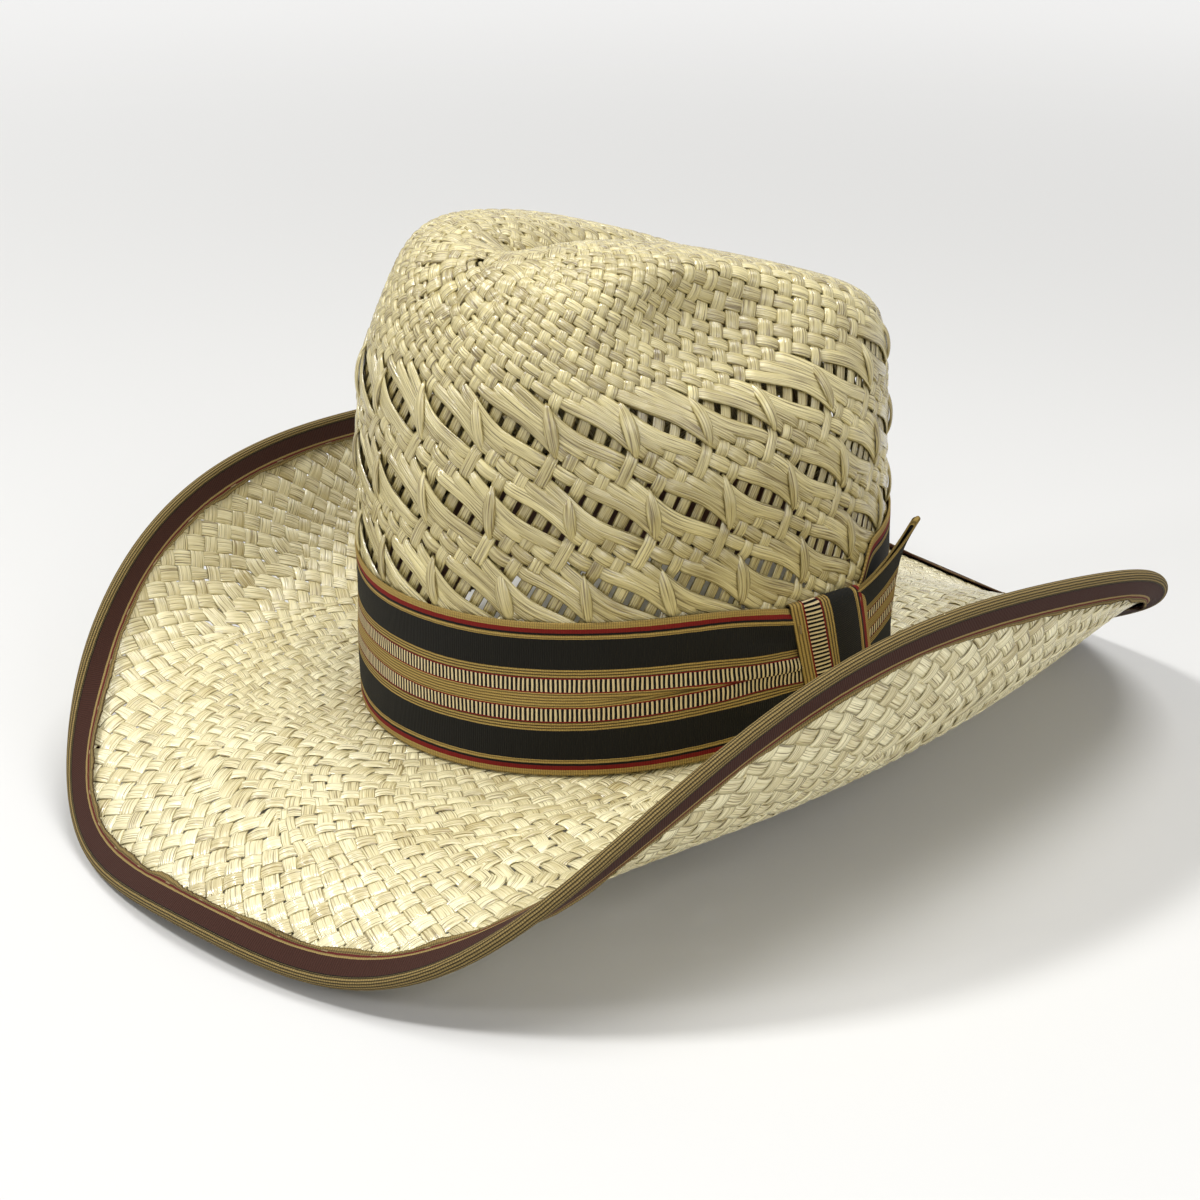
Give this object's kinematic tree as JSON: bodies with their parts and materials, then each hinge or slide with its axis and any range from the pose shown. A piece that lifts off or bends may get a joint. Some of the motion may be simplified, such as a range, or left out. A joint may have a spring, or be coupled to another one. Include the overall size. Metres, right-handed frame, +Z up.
{
  "type": "straw cowboy hat",
  "caption": "Western straw hat with a creased woven crown, vented weave, side-curled brim, bound edge, striped ribbon band with a side bow and a leather sweatband.",
  "frame": {"origin": "centre of the head opening, on the line where the crown turns into the brim", "axes": "+Z up, -Y to the front of the hat, +X to the wearer's left"},
  "size_m": [0.3102, 0.4012, 0.1928],
  "materials": {
    "straw": "satin woven palm straw",
    "binding_ribbon": "ribbed ribbon",
    "striped_ribbon": "ribbed ribbon with woven stripes",
    "thread": "matte cotton thread",
    "sweat_leather": "smooth leather",
    "reed_tape": "matte cloth tape over a cord",
    "spring_wire": "drawn wire",
    "sleeve_brass": "crimped tube"
  },
  "bodies": {
    "root": {"crown_wall": "straw", "crown_top": "straw", "brim": "straw", "brim_binding": "binding_ribbon", "brim_wire": "spring_wire", "wire_sleeve": "sleeve_brass", "binding_stitches": "thread", "band_ribbon": "striped_ribbon", "bow_loop": "striped_ribbon", "bow_knot": "striped_ribbon", "bow_tacks": "thread", "sweatband": "sweat_leather", "sweatband_reed": "reed_tape", "sweatband_stitches": "thread", "sweatband_seam_bow": "sweat_leather"}
  },
  "joints": []
}
